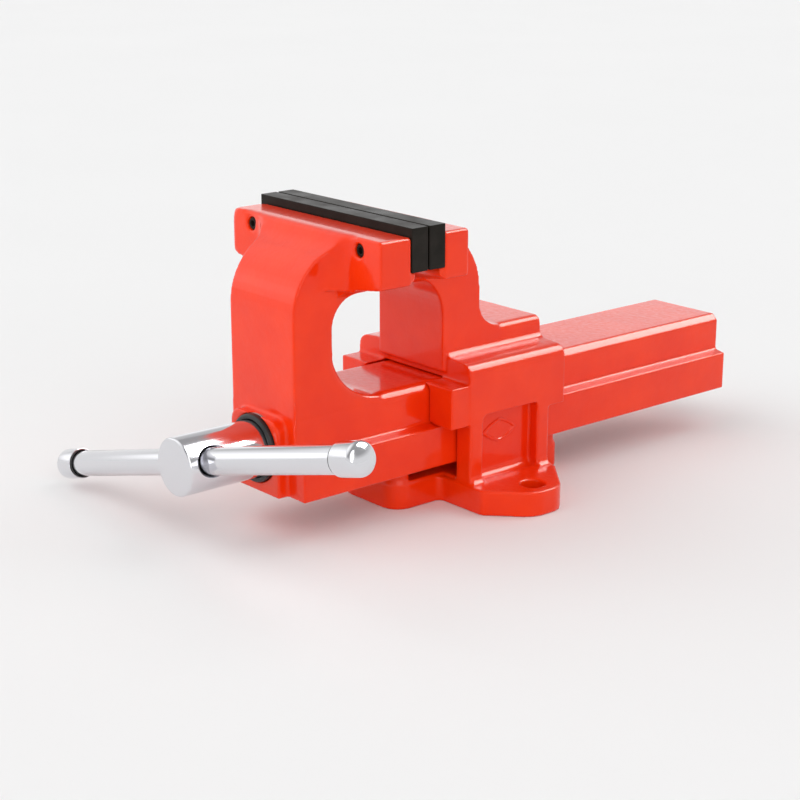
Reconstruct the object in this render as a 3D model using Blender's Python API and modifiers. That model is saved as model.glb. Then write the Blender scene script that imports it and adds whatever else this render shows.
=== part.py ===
"""Bench vise with a hollow sliding beam: 150 mm jaws, 160 mm opening.

The row frame is in metres, +Z up. The origin is on the underside of the base, midway between
the two lug holes. +Y runs from the handle to the tail of the beam, and +X is the operator's right.
The constants below are millimetres, and MM turns them into metres as each shape is made.
"""

import math

import bmesh
import bpy
from mathutils import Matrix

MM = 0.001
GAP = 0.3

# Jaws
JAW_LINE = -87.0  # where the two jaw plates meet
JAW_HALF_WIDTH = 75.0
PLATE_THICKNESS = 13.4
PLATE_HEIGHT = 26.7
PLATE_TOP = 195.9
PLATE_BOTTOM = PLATE_TOP - PLATE_HEIGHT
ARM_HALF_WIDTH = 32.6
BLOCK_HALF_WIDTH = 74.6
FRONT_BLOCK_DEPTH = 23.2  # jaw block behind a plate, front to back
REAR_BLOCK_DEPTH = 19.1
BLOCK_TOP = 190.5
WING_BOTTOM = 161.5
WING_ROOT_BOTTOM = 156.5
WING_ROOT_HALF_WIDTH = 43.0
ARM_UNDERSIDE = 150.5
SCREW_SPACING_HALF = 54.0
SCREW_HEIGHT = 182.5
JAW_SCREW_HEAD = (3.95, 5.0)  # radius and height
JAW_SCREW_RADIUS = 2.5
HEAD_SINK = 1.4  # how deep a jaw screw's head sits in its counterbore
JAW_SCREW_TIP = 5.4  # how far short of the jaw line a jaw screw ends

# Beam of the moving jaw
BEAM_BOTTOM = 28.5
BEAM_TOP = 83.0
BEAM_HALF_WIDTH = 32.8
BEAM_CHAMFER = 4.2
RAIL_HALF_WIDTH = 41.0
RAIL_TOP = 55.3
RAIL_ROOT = 57.0  # height of the sloped rail top where it meets the beam
BEAM_FRONT = JAW_LINE - 69.3
BEAM_TAIL = JAW_LINE + 319.6
HOLLOW_HALF_WIDTH = 21.0
HOLLOW_TOP = 74.0
HOLLOW_FRONT = BEAM_FRONT + 19.3
BOSS_FRONT = BEAM_FRONT - 7.2
BOSS_HALF_WIDTH = 24.3
BOSS_TOP = 77.0

# Base and guide of the static body
BASE_THICKNESS = 16.5
DECK_HEIGHT = 18.5
PAD_TOP = 28.2
TONGUE_HALF_WIDTH = 29.0
TONGUE_FRONT = JAW_LINE + 12.5
TONGUE_REAR = JAW_LINE + 160.0
PAD_LENGTH = 13.0
LUG_HOLE_X = 78.5
LUG_HOLE_RADIUS = 8.0
GUIDE_HALF_WIDTH = 56.0
GUIDE_FRONT = JAW_LINE + 52.3
GUIDE_REAR = JAW_LINE + 137.0
GUIDE_BOTTOM = 56.4
WALL_INNER = 41.8
WALL_FRONT = JAW_LINE + 53.0
WALL_REAR = JAW_LINE + 123.3
EAR_FRONT = JAW_LINE + 37.0
EAR_TOP = 83.3
WEB_HALF_WIDTH = 32.0
WEB_FRONT = JAW_LINE + 50.0
DECK_TOP = 111.5
SLIDE_CLEARANCE = 0.6
RECESS_DEPTH = 8.0
RECESS_FRONT = JAW_LINE + 64.0
RECESS_REAR = JAW_LINE + 112.5
RECESS_TOP = 61.5

# Spindle, nut and handle
SPINDLE_HEIGHT = 55.8
THREAD_RADIUS = 14.0
HEAD_RADIUS = 18.2
HEAD_FRONT = JAW_LINE - 135.3
HEAD_REAR = JAW_LINE - 74.6
SPINDLE_END = 204.0
NUT_FRONT = -18.0
NUT_REAR = 36.0
NUT_HALF_WIDTH = 20.0
NUT_BOTTOM = 28.3
NUT_TOP = 73.3
NUT_BOLT_Y = (-12.0, 30.0)
COLLAR_FRONT = HOLLOW_FRONT + 2.6
COLLAR_REAR = COLLAR_FRONT + 12.0
COLLAR_MIDDLE = (COLLAR_FRONT + COLLAR_REAR) / 2
COLLAR_RADIUS = 17.4
PIN_RADIUS = 2.5
PIN_LENGTH = 33.0
BAR_Y = JAW_LINE - 117.5
BAR_TILT = math.radians(15.0)
BAR_RADIUS = 8.5
BAR_HALF_LENGTH = 159.7
CAP_INNER = 144.2
CAP_OUTER = 164.6
CAP_RADIUS = 10.1

# Colour, roughness and metallic value of each finish
FINISHES = {
    "enamel": ((0.83, 0.055, 0.02), 0.32, 0.0),
    "black_oxide": ((0.012, 0.012, 0.011), 0.45, 0.6),
    "chrome": ((0.82, 0.82, 0.84), 0.12, 1.0),
    "steel": ((0.55, 0.55, 0.56), 0.35, 1.0),
    "bronze": ((0.60, 0.42, 0.20), 0.40, 1.0),
    "rubber": ((0.02, 0.02, 0.02), 0.70, 0.0),
}


def clear_scene():
    for obj in list(bpy.data.objects):
        bpy.data.objects.remove(obj)


def new_collection(name, visible):
    made = bpy.data.collections.new(name)
    made.hide_render = not visible
    bpy.context.scene.collection.children.link(made)
    return made


# ---------------------------------------------------------------- outlines


def arc(centre, radius, start, end, steps=10):
    """Points from the angle start to the angle end, in degrees, on a circle about centre."""
    points = []
    for step in range(steps + 1):
        angle = math.radians(start + (end - start) * step / steps)
        points.append((centre[0] + radius * math.cos(angle), centre[1] + radius * math.sin(angle)))
    return points


def rounded(corners, steps=6):
    """A closed outline from (a, b, radius) corners: each corner is replaced by an arc."""
    outline = []
    for index, (a, b, radius) in enumerate(corners):
        before = corners[index - 1]
        after = corners[(index + 1) % len(corners)]
        if radius == 0:
            outline.append((a, b))
            continue
        towards_before = unit(before[0] - a, before[1] - b)
        towards_after = unit(after[0] - a, after[1] - b)
        cosine = towards_before[0] * towards_after[0] + towards_before[1] * towards_after[1]
        half_angle = math.acos(cosine) / 2
        bisector = unit(towards_before[0] + towards_after[0], towards_before[1] + towards_after[1])
        reach = radius / math.sin(half_angle)
        centre = (a + bisector[0] * reach, b + bisector[1] * reach)
        foot = radius / math.tan(half_angle)
        first = (a + towards_before[0] * foot - centre[0], b + towards_before[1] * foot - centre[1])
        last = (a + towards_after[0] * foot - centre[0], b + towards_after[1] * foot - centre[1])
        start = math.degrees(math.atan2(first[1], first[0]))
        sweep = math.degrees(math.atan2(last[1], last[0])) - start
        sweep = (sweep + 180) % 360 - 180
        outline += arc(centre, radius, start, start + sweep, steps)
    return outline


def unit(a, b):
    length = math.hypot(a, b)
    return a / length, b / length


def mirrored(half):
    """A closed outline from the corners of its right half, which run up the +a side."""
    return half + [(-corner[0], *corner[1:]) for corner in reversed(half)]


def beam_section(grow=0.0, bottom=BEAM_BOTTOM):
    """Section of the beam across its length, or of the passage around it when grow is set."""
    chamfer_foot = BEAM_TOP + grow - BEAM_CHAMFER
    half = [
        (RAIL_HALF_WIDTH + grow, bottom),
        (RAIL_HALF_WIDTH + grow, RAIL_TOP + grow),
        (BEAM_HALF_WIDTH + grow, RAIL_ROOT + grow),
        (BEAM_HALF_WIDTH + grow, chamfer_foot),
        (BEAM_HALF_WIDTH + grow - BEAM_CHAMFER, BEAM_TOP + grow),
    ]
    return mirrored(half)


def jaw_block_section():
    """The block seen from the front: wings that thicken towards the arm."""
    half = [
        (ARM_HALF_WIDTH, ARM_UNDERSIDE, 0),
        (WING_ROOT_HALF_WIDTH, WING_ROOT_BOTTOM, 10),
        (BLOCK_HALF_WIDTH, WING_BOTTOM, 1.5),
        (BLOCK_HALF_WIDTH, BLOCK_TOP, 2),
    ]
    return rounded(mirrored(half))


# ---------------------------------------------------------------- shapes


def place(obj, collection):
    collection.objects.link(obj)
    if collection.hide_render:
        obj.hide_render = True
        obj.display_type = "WIRE"
    return obj


def mesh_object(name, shape, matrix, collection):
    """An object from a bmesh, with its normals turned outwards."""
    bmesh.ops.recalc_face_normals(shape, faces=shape.faces)
    mesh = bpy.data.meshes.new(name)
    shape.to_mesh(mesh)
    shape.free()
    obj = place(bpy.data.objects.new(name, mesh), collection)
    obj.matrix_world = matrix
    return obj


PLANES = {
    "XY": Matrix.Identity(3),
    "XZ": Matrix(((1, 0, 0), (0, 0, -1), (0, 1, 0))),
    "YZ": Matrix(((0, 0, 1), (1, 0, 0), (0, 1, 0))),
}


def prism(name, outline, plane, low, high, collection):
    """A flat outline in one plane, thickened between low and high on the third axis."""
    curve = bpy.data.curves.new(name, "CURVE")
    curve.dimensions = "2D"
    curve.fill_mode = "BOTH"
    curve.extrude = (high - low) / 2 * MM
    spline = curve.splines.new("POLY")
    spline.points.add(len(outline) - 1)
    for point, corner in zip(spline.points, outline):
        point.co = (corner[0] * MM, corner[1] * MM, 0, 1)
    spline.use_cyclic_u = True
    guide = bpy.data.objects.new(name, curve)
    bpy.context.scene.collection.objects.link(guide)
    bpy.context.view_layer.update()
    evaluated = guide.evaluated_get(bpy.context.evaluated_depsgraph_get())
    filled = bpy.data.meshes.new_from_object(evaluated)
    bpy.data.objects.remove(guide)
    shape = bmesh.new()
    shape.from_mesh(filled)
    bpy.data.meshes.remove(filled)
    bmesh.ops.remove_doubles(shape, verts=shape.verts, dist=1e-6)
    middle = (low + high) / 2 * MM
    offset = {"XY": (0, 0, middle), "XZ": (0, middle, 0), "YZ": (middle, 0, 0)}[plane]
    matrix = Matrix.Translation(offset) @ PLANES[plane].to_4x4()
    return mesh_object(name, shape, matrix, collection)


def box(name, low, high, collection):
    shape = bmesh.new()
    bmesh.ops.create_cube(shape, size=1.0)
    sides = [(b - a) * MM for a, b in zip(low, high)]
    middle = [(a + b) / 2 * MM for a, b in zip(low, high)]
    bmesh.ops.scale(shape, vec=sides, verts=shape.verts)
    return mesh_object(name, shape, Matrix.Translation(middle), collection)


TURNS = {
    "X": Matrix.Rotation(math.radians(90), 4, "Y"),
    "Y": Matrix.Rotation(math.radians(-90), 4, "X"),
    "Z": Matrix.Identity(4),
}


def rod(name, middle, axis, radius, length, collection, segments=32):
    """A cylinder along one axis of the row frame."""
    shape = bmesh.new()
    bmesh.ops.create_cone(
        shape, cap_ends=True, segments=segments, radius1=radius * MM, radius2=radius * MM, depth=length * MM
    )
    matrix = Matrix.Translation([value * MM for value in middle]) @ TURNS[axis]
    return mesh_object(name, shape, matrix, collection)


def turned(name, profile, matrix, collection, steps=48, closed=False):
    """A turned shape: the (radius, height) profile runs down its outer side, about local Z."""
    mesh = bpy.data.meshes.new(name)
    points = [(radius * MM, 0, height * MM) for radius, height in profile]
    edges = [(index, index + 1) for index in range(len(points) - 1)]
    if closed:
        edges.append((len(points) - 1, 0))
    mesh.from_pydata(points, edges, [])
    obj = place(bpy.data.objects.new(name, mesh), collection)
    obj.matrix_world = matrix
    screw = obj.modifiers.new("turn", "SCREW")
    screw.steps = steps
    screw.render_steps = steps
    screw.use_merge_vertices = True
    screw.merge_threshold = 1e-6
    return obj


def washer(name, inner, outer, low, high, matrix, collection, steps=48):
    """A flat ring about local Z, between the heights low and high."""
    profile = [(inner, high), (outer, high), (outer, low), (inner, low)]
    return turned(name, profile, matrix, collection, steps, closed=True)


def combine(obj, operation, tools, solver="EXACT"):
    for tool in tools:
        boolean = obj.modifiers.new(tool.name, "BOOLEAN")
        boolean.operation = operation
        boolean.solver = solver
        boolean.object = tool
    return obj


def finish(obj, finish_name):
    """Gives the piece a material of its own, and smooth shading on its round faces."""
    colour, roughness, metallic = FINISHES[finish_name]
    material = bpy.data.materials.new(obj.name)
    material.use_nodes = True
    shader = material.node_tree.nodes["Principled BSDF"]
    shader.inputs["Base Color"].default_value = (*colour, 1.0)
    shader.inputs["Roughness"].default_value = roughness
    shader.inputs["Metallic"].default_value = metallic
    material.diffuse_color = (*colour, 1.0)
    obj.data.materials.append(material)
    obj.data.shade_smooth()
    obj.data.set_sharp_from_angle(angle=math.radians(35))
    return obj


# ---------------------------------------------------------------- castings

# The EXACT solver leaves open edges where this many cast shapes meet face on face.
CASTING_SOLVER = "MANIFOLD"


def moving_arm_profile():
    """Side view of the C-shaped arm of the moving jaw, down into the beam."""
    outer_centre = (BEAM_FRONT + 42.8, 140.8)
    upper_centre = (JAW_LINE - 19.3, 130.0)
    lower_centre = (JAW_LINE - 1.8, 121.0)
    block_back = JAW_LINE - PLATE_THICKNESS - 1.0
    profile = [(BEAM_FRONT, 60.0)]
    profile += arc(outer_centre, 42.8, 180, 90, 14)
    profile += [(block_back, 183.6), (block_back, ARM_UNDERSIDE)]
    profile += arc(upper_centre, 20.5, 90, 180)
    profile += arc(lower_centre, 38.0, 180, 270, 12)
    profile.append((lower_centre[0], 60.0))
    return profile


def static_arm_profile():
    """Side view of the web that carries the rear jaw, down into the deck."""
    outer_centre = (JAW_LINE + 38.5, 138.5)
    inner_centre = (JAW_LINE + 22.0, 125.5)
    deck_centre = (JAW_LINE + 99.5, 129.5)
    block_front = JAW_LINE + PLATE_THICKNESS + 1.0
    profile = [(WEB_FRONT, BEAM_TOP + 5.0)]
    profile += arc(inner_centre, 28.0, 0, 90)
    profile += [(block_front, 153.5), (block_front, 183.0)]
    profile += arc(outer_centre, 43.0, 90, 0, 14)
    profile += arc(deck_centre, 18.0, 180, 270)
    profile.append((deck_centre[0], BEAM_TOP + 5.0))
    return profile


def ledge_profile(side):
    """Small step under a jaw plate; side is -1 in front of the jaw line and +1 behind it."""
    reach = JAW_LINE + side * 9.6
    root = JAW_LINE + side * (PLATE_THICKNESS + 1.0)
    middle = JAW_LINE + side * 10.6
    top = PLATE_BOTTOM - GAP
    return [(root, WING_BOTTOM), (middle, 163.5), (reach, 165.5), (reach, top), (root, top)]


def block_face(side):
    """Outer face of a jaw block; side is -1 in front of the jaw line and +1 behind it."""
    return JAW_LINE + side * (PLATE_THICKNESS + (REAR_BLOCK_DEPTH if side > 0 else FRONT_BLOCK_DEPTH))


def jaw_screw_holes(side, collection):
    """Counterbored holes for the two plate screws of one jaw, which lies on one side of the jaw line."""
    depth = 9.0
    holes = []
    for x in (-SCREW_SPACING_HALF, SCREW_SPACING_HALF):
        centre = (x, block_face(side), SCREW_HEIGHT)
        holes.append(rod("counterbore", centre, "Y", 4.3, 2 * depth, collection, 24))
        through = (x, JAW_LINE + side * 22.0, SCREW_HEIGHT)
        holes.append(rod("screw_clearance", through, "Y", 2.9, 40.0, collection, 20))
    return holes


def build_moving_jaw(parts, tools):
    jaw = prism("moving_jaw", beam_section(), "XZ", BEAM_FRONT, BEAM_TAIL, parts)
    arm = prism("arm", moving_arm_profile(), "YZ", -ARM_HALF_WIDTH, ARM_HALF_WIDTH, tools)
    block_rear = JAW_LINE - PLATE_THICKNESS
    block = prism("front_block", jaw_block_section(), "XZ", block_face(-1), block_rear, tools)
    ledge = prism(
        "front_ledge", ledge_profile(-1), "YZ", 0.5 - BLOCK_HALF_WIDTH, BLOCK_HALF_WIDTH - 0.5, tools
    )
    boss_corners = [(BOSS_HALF_WIDTH, BEAM_BOTTOM, 0), (BOSS_HALF_WIDTH, BOSS_TOP, 8)]
    boss = prism("boss", rounded(mirrored(boss_corners)), "XZ", BOSS_FRONT, BEAM_FRONT + 5, tools)
    combine(jaw, "UNION", [arm, block, ledge, boss], CASTING_SOLVER)
    hollow = box(
        "beam_hollow",
        (-HOLLOW_HALF_WIDTH, HOLLOW_FRONT, BEAM_BOTTOM - 5),
        (HOLLOW_HALF_WIDTH, BEAM_TAIL + 5, HOLLOW_TOP),
        tools,
    )
    bore = rod("spindle_bore", (0, BEAM_FRONT + 5, SPINDLE_HEIGHT), "Y", 14.4, 60, tools, 40)
    seat_depth = 4.0
    seat = rod(
        "thrust_seat", (0, BOSS_FRONT + seat_depth - 10, SPINDLE_HEIGHT), "Y", 21.9, 20, tools, 48
    )
    cuts = [hollow, bore, seat, *jaw_screw_holes(-1, tools)]
    combine(jaw, "DIFFERENCE", cuts, CASTING_SOLVER)
    return finish(jaw, "enamel")


def base_outline():
    """Plan of the base: a tongue fore and aft, and a lug on each side."""
    half = [
        (TONGUE_HALF_WIDTH, TONGUE_FRONT, 12),
        (TONGUE_HALF_WIDTH, WALL_FRONT - 2, 5),
        (69.0, WALL_FRONT - 2, 4),
        (94.0, -12.0, 20),
        (94.0, 11.0, 15),
        (62.0, WALL_REAR + 0.8, 4),
        (TONGUE_HALF_WIDTH, WALL_REAR + 0.8, 5),
        (TONGUE_HALF_WIDTH, TONGUE_REAR, 5),
    ]
    return rounded(mirrored(half))


def guide_section():
    """The guide box seen from behind: rounded shoulders rising to a raised deck."""
    half = [
        (GUIDE_HALF_WIDTH, GUIDE_BOTTOM, 0),
        (GUIDE_HALF_WIDTH, 95.5, 8),
        (44.0, 96.8, 0),
        (WEB_HALF_WIDTH + 0.4, 97.6, 5),
        (WEB_HALF_WIDTH - 0.1, DECK_TOP, 5),
    ]
    return rounded(mirrored(half))


def tongue_outline(inset, low, high, front_radius, rear_radius):
    """Plan of a block on the tongue, drawn in from the edge of the base plate."""
    half_width = TONGUE_HALF_WIDTH - inset
    half = [(half_width, low, front_radius), (half_width, high, rear_radius)]
    return rounded(mirrored(half))


def static_additions(tools):
    """Everything that is cast onto the base plate."""
    tongue = tongue_outline(0.7, TONGUE_FRONT + 0.7, TONGUE_REAR - 0.7, 11, 4.5)
    front_pad = tongue_outline(1.4, TONGUE_FRONT + 1.4, TONGUE_FRONT + PAD_LENGTH, 10, 0)
    rear_pad = tongue_outline(1.4, TONGUE_REAR - PAD_LENGTH, TONGUE_REAR - 1.4, 0, 4)
    block_front = JAW_LINE + PLATE_THICKNESS
    added = [
        prism("tongue", tongue, "XY", 2, DECK_HEIGHT, tools),
        prism("front_pad", front_pad, "XY", 5, PAD_TOP, tools),
        prism("rear_pad", rear_pad, "XY", 5, PAD_TOP, tools),
        box("floor", (-50, WALL_FRONT + 1, 2), (50, WALL_REAR - 1, DECK_HEIGHT), tools),
        box(
            "pedestal",
            (-NUT_HALF_WIDTH, NUT_FRONT - 3, 5),
            (NUT_HALF_WIDTH, NUT_REAR + 3, NUT_BOTTOM - GAP),
            tools,
        ),
    ]
    for side in (-1, 1):
        edges = sorted((side * WALL_INNER, side * (GUIDE_HALF_WIDTH - 0.2)))
        added.append(
            box("side_wall", (edges[0], WALL_FRONT, 3), (edges[1], WALL_REAR, GUIDE_BOTTOM + 5), tools)
        )
        ear = sorted((side * 26.0, side * (GUIDE_HALF_WIDTH - 0.4)))
        added.append(
            box("ear", (ear[0], EAR_FRONT, GUIDE_BOTTOM), (ear[1], GUIDE_FRONT + 4, EAR_TOP), tools)
        )
    added += [
        prism("guide", guide_section(), "XZ", GUIDE_FRONT, GUIDE_REAR, tools),
        prism("web", static_arm_profile(), "YZ", -WEB_HALF_WIDTH, WEB_HALF_WIDTH, tools),
        prism("rear_block", jaw_block_section(), "XZ", block_front, block_face(1), tools),
        prism(
            "rear_ledge", ledge_profile(1), "YZ", 0.5 - BLOCK_HALF_WIDTH, BLOCK_HALF_WIDTH - 0.5, tools
        ),
    ]
    return added


def static_cuts(tools):
    """The beam's passage, the side recesses and every bolt hole."""
    passage = beam_section(SLIDE_CLEARANCE, PAD_TOP + 5.0)
    cuts = [prism("passage", passage, "XZ", EAR_FRONT - 10, GUIDE_REAR + 10, tools)]
    recess_floor = BASE_THICKNESS + 0.2
    recess = rounded(
        [
            (RECESS_FRONT, recess_floor, 2),
            (RECESS_REAR, recess_floor, 2),
            (RECESS_REAR, RECESS_TOP, 3),
            (RECESS_FRONT, RECESS_TOP, 4),
        ],
        4,
    )
    for side in (-1, 1):
        edges = sorted((side * (GUIDE_HALF_WIDTH - RECESS_DEPTH), side * (GUIDE_HALF_WIDTH + 8)))
        cuts.append(prism("recess", recess, "YZ", edges[0], edges[1], tools))
        hole = (side * LUG_HOLE_X, 0, BASE_THICKNESS / 2)
        cuts.append(rod("lug_hole", hole, "Z", LUG_HOLE_RADIUS, 40, tools, 36))
    for y in NUT_BOLT_Y:
        cuts.append(rod("bolt_head_seat", (0, y, 3.0), "Z", 8.5, 22, tools, 32))
        cuts.append(rod("bolt_clearance", (0, y, 20.0), "Z", 4.4, 60, tools, 24))
    return cuts + jaw_screw_holes(1, tools)


def build_static_body(parts, tools):
    body = prism("static_body", base_outline(), "XY", 0, BASE_THICKNESS, parts)
    combine(body, "UNION", static_additions(tools), CASTING_SOLVER)
    combine(body, "DIFFERENCE", static_cuts(tools), CASTING_SOLVER)
    return finish(body, "enamel")


# ---------------------------------------------------------------- jaw plates and screws


def build_jaw_plates(parts, tools):
    for name, side in (("front_jaw_plate", -1), ("rear_jaw_plate", 1)):
        face = JAW_LINE + side * 0.2
        back = JAW_LINE + side * (PLATE_THICKNESS - GAP)
        low, high = sorted((face, back))
        plate = box(
            name,
            (-JAW_HALF_WIDTH, low, PLATE_BOTTOM),
            (JAW_HALF_WIDTH, high, PLATE_TOP),
            parts,
        )
        holes = []
        for x in (-SCREW_SPACING_HALF, SCREW_SPACING_HALF):
            middle = (x, back, SCREW_HEIGHT)
            holes.append(rod("plate_thread", middle, "Y", 2.8, 2 * 9.0, tools, 20))
        combine(plate, "DIFFERENCE", holes)
        finish(plate, "black_oxide")


def hex_socket(name, matrix, width, depth, tools):
    """Cutter for a hexagon socket that opens at local Z = 0 and goes down."""
    shape = bmesh.new()
    radius = width / math.sqrt(3) * MM
    bmesh.ops.create_cone(
        shape, cap_ends=True, segments=6, radius1=radius, radius2=radius, depth=2 * depth * MM
    )
    return mesh_object(name, shape, matrix, tools)


def cap_screw(name, matrix, head, shank, socket, parts, tools):
    """A socket screw whose head top is at local Z = 0; head and shank are (radius, length)."""
    edge = 0.5
    profile = [
        (0, 0),
        (head[0] - edge, 0),
        (head[0], -edge),
        (head[0], -head[1]),
        (shank[0], -head[1]),
        (shank[0], -head[1] - shank[1] + edge),
        (shank[0] - edge, -head[1] - shank[1]),
        (0, -head[1] - shank[1]),
    ]
    screw = turned(name, profile, matrix, parts, 24)
    cutter = hex_socket(name + "_socket", matrix, socket[0], socket[1], tools)
    combine(screw, "DIFFERENCE", [cutter])
    return finish(screw, "black_oxide")


def build_jaw_screws(parts, tools):
    for jaw, side in (("front", -1), ("rear", 1)):
        head_top = block_face(side) - side * HEAD_SINK
        shank = abs(head_top - JAW_LINE) - JAW_SCREW_HEAD[1] - JAW_SCREW_TIP
        turn = Matrix.Rotation(math.radians(-90 * side), 4, "X")
        for hand, x in (("left", -SCREW_SPACING_HALF), ("right", SCREW_SPACING_HALF)):
            spot = Matrix.Translation((x * MM, head_top * MM, SCREW_HEIGHT * MM))
            cap_screw(
                f"{jaw}_jaw_screw_{hand}",
                spot @ turn,
                JAW_SCREW_HEAD,
                (JAW_SCREW_RADIUS, shank),
                (4.0, 2.6),
                parts,
                tools,
            )


# ---------------------------------------------------------------- spindle line


def on_spindle(y):
    """Local Z runs along +Y, with its zero on the spindle axis at the station y."""
    return Matrix.Translation((0, y * MM, SPINDLE_HEIGHT * MM)) @ TURNS["Y"]


def build_spindle(parts, tools):
    edge = 0.8
    length = SPINDLE_END - HEAD_FRONT
    head_length = HEAD_REAR - HEAD_FRONT
    profile = [
        (0, length),
        (THREAD_RADIUS - 2, length),
        (THREAD_RADIUS, length - 2),
        (THREAD_RADIUS, head_length),
        (HEAD_RADIUS, head_length),
        (HEAD_RADIUS, edge),
        (HEAD_RADIUS - edge, 0),
        (0, 0),
    ]
    spindle = turned("spindle", profile, on_spindle(HEAD_FRONT), parts, 48)
    bar_hole = rod("bar_hole", (0, 0, 0), "X", BAR_RADIUS + GAP, 60, tools, 40)
    bar_hole.matrix_world = on_bar(0)
    pin_hole = rod("pin_hole", (0, COLLAR_MIDDLE, SPINDLE_HEIGHT), "Z", 2.8, 60, tools, 24)
    combine(spindle, "DIFFERENCE", [bar_hole, pin_hole])
    return finish(spindle, "chrome")


def build_spindle_retainers(parts, tools):
    """Washers, seal and pinned collar that hold the spindle in the front wall."""
    bore = THREAD_RADIUS + GAP
    finish(
        washer("thrust_washer", bore, 21.5, 0, 1.5, on_spindle(HEAD_REAR + GAP), parts), "steel"
    )
    seal_front = BOSS_FRONT - 2.4
    finish(
        washer(
            "spindle_seal_ring",
            HEAD_RADIUS + GAP,
            21.6,
            0,
            HEAD_REAR - 0.2 - seal_front,
            on_spindle(seal_front),
            parts,
        ),
        "rubber",
    )
    spring = [(bore, 1.1), (bore + 0.6, 1.9), (COLLAR_RADIUS, 1.3), (COLLAR_RADIUS, 0), (bore, 0.3)]
    finish(
        turned("spring_washer", spring, on_spindle(HOLLOW_FRONT + GAP), parts, 48, closed=True),
        "steel",
    )
    collar = washer(
        "retaining_collar",
        bore,
        COLLAR_RADIUS,
        0,
        COLLAR_REAR - COLLAR_FRONT,
        on_spindle(COLLAR_FRONT),
        parts,
    )
    pin_hole = rod("collar_pin_hole", (0, COLLAR_MIDDLE, SPINDLE_HEIGHT), "Z", 2.8, 60, tools, 24)
    combine(collar, "DIFFERENCE", [pin_hole])
    finish(collar, "steel")
    middle = (0, COLLAR_MIDDLE, SPINDLE_HEIGHT)
    pin = rod("collar_pin", middle, "Z", PIN_RADIUS, PIN_LENGTH, parts, 24)
    finish(pin, "steel")


def build_nut(parts, tools):
    nut = box(
        "spindle_nut",
        (-NUT_HALF_WIDTH, NUT_FRONT, NUT_BOTTOM),
        (NUT_HALF_WIDTH, NUT_REAR, NUT_TOP),
        parts,
    )
    middle = (NUT_FRONT + NUT_REAR) / 2
    cuts = [
        rod("nut_thread", (0, middle, SPINDLE_HEIGHT), "Y", THREAD_RADIUS + GAP, 80, tools, 48)
    ]
    for y in NUT_BOLT_Y:
        cuts.append(rod("nut_bolt_thread", (0, y, NUT_BOTTOM), "Z", 4.3, 2 * 9.5, tools, 24))
    combine(nut, "DIFFERENCE", cuts)
    finish(nut, "bronze")
    for label, y in zip(("front", "rear"), NUT_BOLT_Y):
        upside_down = Matrix.Rotation(math.radians(180), 4, "X")
        spot = Matrix.Translation((0, y * MM, 3.2 * MM)) @ upside_down
        cap_screw(f"nut_bolt_{label}", spot, (6.5, 8.0), (4.0, 25.4), (6.0, 4.0), parts, tools)
        base = Matrix.Translation((0, y * MM, 0))
        finish(washer(f"nut_washer_{label}", 4.4, 8.0, 11.7, 13.6, base, parts, 32), "steel")


# ---------------------------------------------------------------- handle


def on_bar(distance, outward=1):
    """Local Z runs outwards along the handle bar, with its zero at a distance from the spindle axis."""
    centre = Matrix.Translation((0, BAR_Y * MM, SPINDLE_HEIGHT * MM))
    tilt = Matrix.Rotation(-BAR_TILT, 4, "Y")
    side = Matrix.Rotation(math.radians(90 * outward), 4, "Y")
    return centre @ tilt @ side @ Matrix.Translation((0, 0, distance * MM))


def build_handle(parts):
    bar = turned(
        "handle_bar",
        [
            (0, BAR_HALF_LENGTH),
            (BAR_RADIUS - 1, BAR_HALF_LENGTH),
            (BAR_RADIUS, BAR_HALF_LENGTH - 1),
            (BAR_RADIUS, 1 - BAR_HALF_LENGTH),
            (BAR_RADIUS - 1, -BAR_HALF_LENGTH),
            (0, -BAR_HALF_LENGTH),
        ],
        on_bar(0),
        parts,
        40,
    )
    finish(bar, "chrome")
    for label, outward in (("left", -1), ("right", 1)):
        bore = BAR_RADIUS + GAP
        profile = [
            (0, CAP_OUTER),
            (CAP_RADIUS * 0.55, CAP_OUTER - 0.35),
            (CAP_RADIUS - 1.2, CAP_OUTER - 1.2),
            (CAP_RADIUS - 0.35, CAP_OUTER - 1.9),
            (CAP_RADIUS, CAP_OUTER - 3.0),
            (CAP_RADIUS, CAP_INNER),
            (bore, CAP_INNER),
            (bore, BAR_HALF_LENGTH + GAP),
            (0, BAR_HALF_LENGTH + GAP),
        ]
        cap = turned(f"handle_cap_{label}", profile, on_bar(0, outward), parts, 40)
        finish(cap, "chrome")
        ring = washer(
            f"handle_ring_{label}",
            bore,
            CAP_RADIUS - 0.2,
            CAP_INNER - 2.2,
            CAP_INNER - GAP,
            on_bar(0, outward),
            parts,
            40,
        )
        finish(ring, "rubber")


def main():
    clear_scene()
    parts = new_collection("bench_vise", True)
    tools = new_collection("cutters", False)
    build_static_body(parts, tools)
    build_moving_jaw(parts, tools)
    build_jaw_plates(parts, tools)
    build_jaw_screws(parts, tools)
    build_nut(parts, tools)
    build_spindle(parts, tools)
    build_spindle_retainers(parts, tools)
    build_handle(parts)


main()
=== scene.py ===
"""Looks of the bench vise: filleted castings in enamel, serrated plates, a cut thread and chrome.

Lengths are in millimetres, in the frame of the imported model, and MM turns them into metres.
Merge distances and the places of the studio's floor and camera are in metres.
"""

import math

import bmesh
import bpy
from mathutils import Matrix, Vector


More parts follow.
